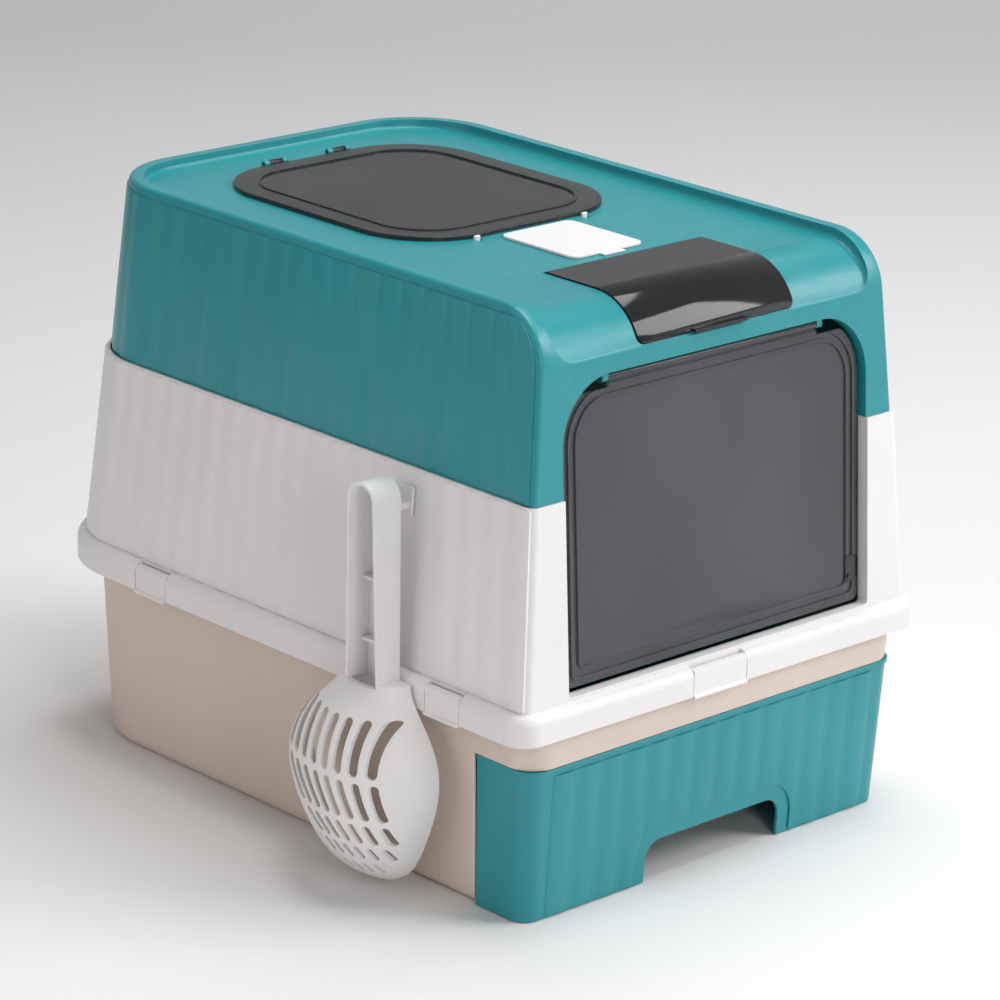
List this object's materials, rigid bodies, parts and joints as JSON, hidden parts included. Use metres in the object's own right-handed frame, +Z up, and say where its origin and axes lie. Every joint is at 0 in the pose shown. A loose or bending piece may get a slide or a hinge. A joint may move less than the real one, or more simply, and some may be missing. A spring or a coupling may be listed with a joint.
{
  "type": "drawer litter box",
  "caption": "Enclosed cat litter box with pull-out litter drawer, clipped frame, lift-off hood, roof hatch, swing door, deodoriser compartment and slotted scoop.",
  "frame": {"origin": "middle of the base's underside, on the floor", "axes": "+X to the right seen from the front, the front faces -Y, +Z up"},
  "size_m": [0.4689, 0.5522, 0.44],
  "materials": {
    "teal": "satin moulded plastic",
    "white": "satin moulded plastic",
    "warm_white": "satin moulded plastic",
    "scoop_white": "satin moulded plastic",
    "smoked": "smoked translucent plastic, glossy",
    "dark_clear": "dark glossy translucent plastic",
    "dark_plastic": "dark glossy plastic",
    "steel_pin": "drawn steel pins",
    "charcoal": "charcoal felt"
  },
  "bodies": {
    "base": {"base_shell": "warm_white", "middle_frame": "white", "clip_pins": "steel_pin", "scoop_hook": "white"},
    "drawer": {"litter_drawer": "teal"},
    "hood": {"hood_shell": "teal", "hatch_pins": "steel_pin", "cover_pins": "steel_pin", "door_pins": "steel_pin", "deodoriser_bin": "white", "charcoal_cartridge": "charcoal"},
    "hatch": {"hatch_lid": "smoked"},
    "latch": {"latch_plate": "white", "latch_bar": "white"},
    "cover": {"bin_cover": "dark_clear"},
    "door": {"front_door": "smoked"},
    "lock": {"door_lock": "dark_plastic"},
    "scoop": {"scoop": "scoop_white"},
    "clip_left_rear": {"clip_left_rear": "white"},
    "clip_left_front": {"clip_left_front": "white"},
    "clip_right_rear": {"clip_right_rear": "white"},
    "clip_right_front": {"clip_right_front": "white"},
    "clip_front": {"clip_front": "white"},
    "clip_back": {"clip_back": "white"}
  },
  "joints": [
    {"name": "drawer_slide", "type": "slide", "parent": "base", "child": "drawer", "axis": [0, -1, 0], "range_m": [0, 0.35]},
    {"name": "hood_lift", "type": "slide", "parent": "base", "child": "hood", "axis": [0, 0, 1], "range_m": [0, 0.15]},
    {"name": "hatch_hinge", "type": "hinge", "parent": "hood", "child": "hatch", "pos_m": [0, 0.1923, 0.43605], "axis": [-1, 0, 0], "range_deg": [0, 110]},
    {"name": "latch_slide", "type": "slide", "parent": "hood", "child": "latch", "axis": [0, -1, 0], "range_m": [0, 0.0035], "stiffness_N_per_m": 150},
    {"name": "cover_hinge", "type": "hinge", "parent": "hood", "child": "cover", "pos_m": [0, -0.1557, 0.4308], "axis": [-1, 0, 0], "range_deg": [0, 95]},
    {"name": "door_hinge", "type": "hinge", "parent": "hood", "child": "door", "pos_m": [0, -0.24425, 0.38368], "axis": [1, 0, 0], "range_deg": [-60, 60]},
    {"name": "lock_slide", "type": "slide", "parent": "door", "child": "lock", "axis": [1, 0, 0], "range_m": [0, 0.004]},
    {"name": "scoop_lift", "type": "slide", "parent": "base", "child": "scoop", "axis": [0, 0, 1], "range_m": [0, 0.009]},
    {"name": "clip_left_rear_hinge", "type": "hinge", "parent": "base", "child": "clip_left_rear", "pos_m": [-0.2, 0.128, 0.1587], "axis": [0, 1, 0], "range_deg": [0, 100]},
    {"name": "clip_left_front_hinge", "type": "hinge", "parent": "base", "child": "clip_left_front", "pos_m": [-0.2, -0.1945, 0.1587], "axis": [0, 1, 0], "range_deg": [0, 100]},
    {"name": "clip_right_rear_hinge", "type": "hinge", "parent": "base", "child": "clip_right_rear", "pos_m": [0.2, 0.128, 0.1587], "axis": [0, -1, 0], "range_deg": [0, 100]},
    {"name": "clip_right_front_hinge", "type": "hinge", "parent": "base", "child": "clip_right_front", "pos_m": [0.2, -0.1945, 0.1587], "axis": [0, -1, 0], "range_deg": [0, 100]},
    {"name": "clip_front_hinge", "type": "hinge", "parent": "base", "child": "clip_front", "pos_m": [-0.01, -0.272, 0.1587], "axis": [-1, 0, 0], "range_deg": [0, 100]},
    {"name": "clip_back_hinge", "type": "hinge", "parent": "base", "child": "clip_back", "pos_m": [0, 0.267, 0.1587], "axis": [1, 0, 0], "range_deg": [0, 100]}
  ]
}
